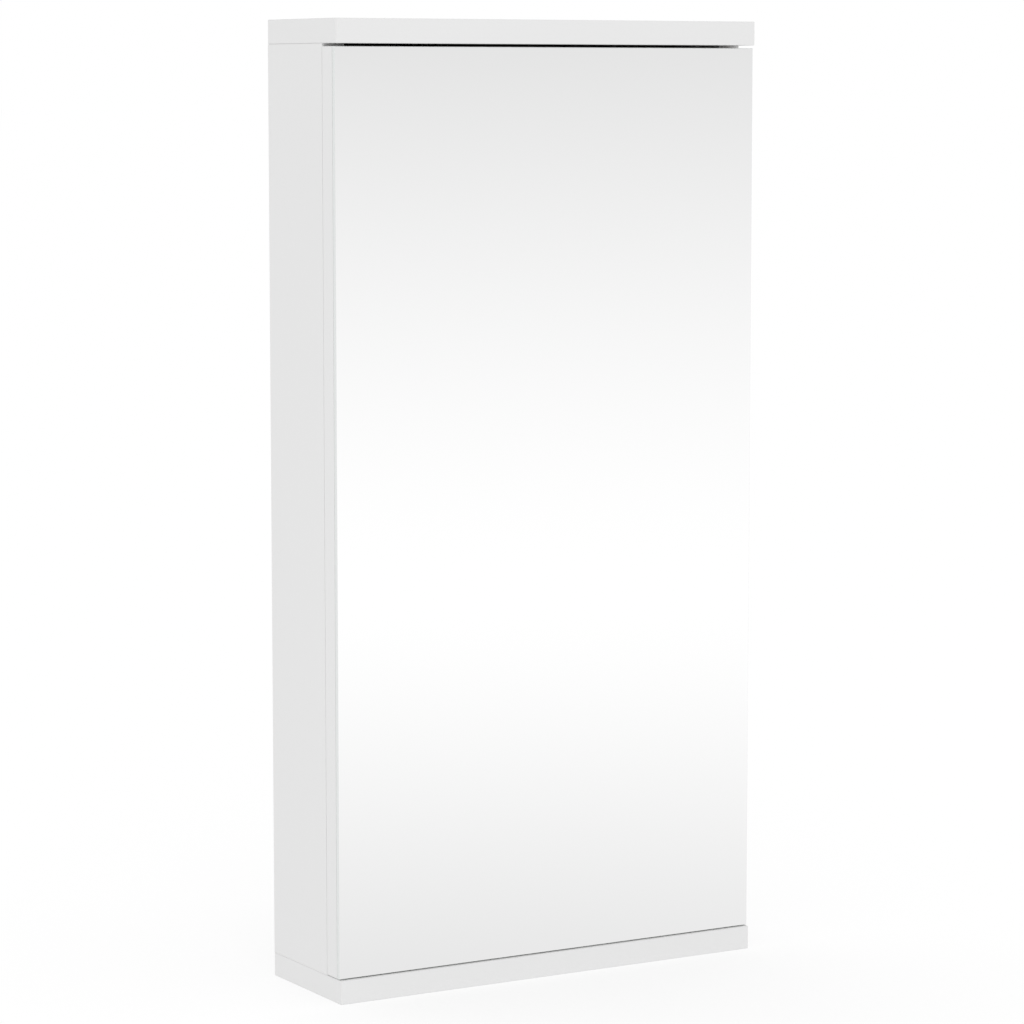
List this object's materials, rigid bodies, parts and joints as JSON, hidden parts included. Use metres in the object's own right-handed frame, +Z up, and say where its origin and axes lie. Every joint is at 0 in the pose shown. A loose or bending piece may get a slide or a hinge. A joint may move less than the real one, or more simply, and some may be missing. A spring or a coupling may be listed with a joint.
{
  "type": "corner mirror cabinet",
  "caption": "Tall corner bathroom cabinet with a flat front, short square sides and 45 degree backs; one full-height mirror door turns on pivot brackets over shelves.",
  "frame": {"origin": "under the middle of the plan's bounding box, level with the underside", "axes": "+Z up, +Y back into the wall corner, +X right seen from the front; the mirror faces -Y"},
  "size_m": [0.3, 0.24, 0.6],
  "materials": {
    "white_board": "satin white laminate on board",
    "mirror_glass": "clear silvered glass with ground edge",
    "steel": "zinc plated",
    "plated_steel": "bright nickel plated",
    "cast_zinc": "as cast",
    "dowel_wood": "plain beech",
    "white_plastic": "moulded",
    "ferrite": "dark grey ferrite",
    "adhesive": "soft adhesive film"
  },
  "bodies": {
    "carcass": {"top_panel": "white_board", "bottom_panel": "white_board", "side_panel_left": "white_board", "side_panel_right": "white_board", "back_panel_left": "white_board", "back_panel_right": "white_board", "shelf_lower": "white_board", "shelf_upper": "white_board", "shelf_pins_lower": "plated_steel", "shelf_pins_upper": "plated_steel", "cam_locks": "cast_zinc", "cam_bolts": "steel", "cam_caps": "white_plastic", "side_dowels": "dowel_wood", "back_dowels": "dowel_wood", "cap_screws": "steel", "apex_screws": "steel", "wall_washers": "plated_steel", "pivot_bracket_top": "plated_steel", "pivot_bracket_bottom": "plated_steel", "pivot_pin_top": "steel", "pivot_pin_bottom": "steel", "bracket_screws": "steel", "catch_housing": "white_plastic", "catch_magnet": "ferrite", "catch_poles": "steel", "catch_screws": "steel"},
    "door": {"door_board": "white_board", "mirror": "mirror_glass", "mirror_adhesive": "adhesive", "pivot_washer_top": "white_plastic", "pivot_washer_bottom": "white_plastic", "pivot_bush_top": "white_plastic", "pivot_bush_bottom": "white_plastic", "strike_plate": "plated_steel", "strike_screws": "steel"}
  },
  "joints": [
    {"name": "door_pivot", "type": "hinge", "parent": "carcass", "child": "door", "pos_m": [0.1445, -0.109, 0.3], "axis": [0, 0, 1], "range_deg": [0, 100]}
  ]
}
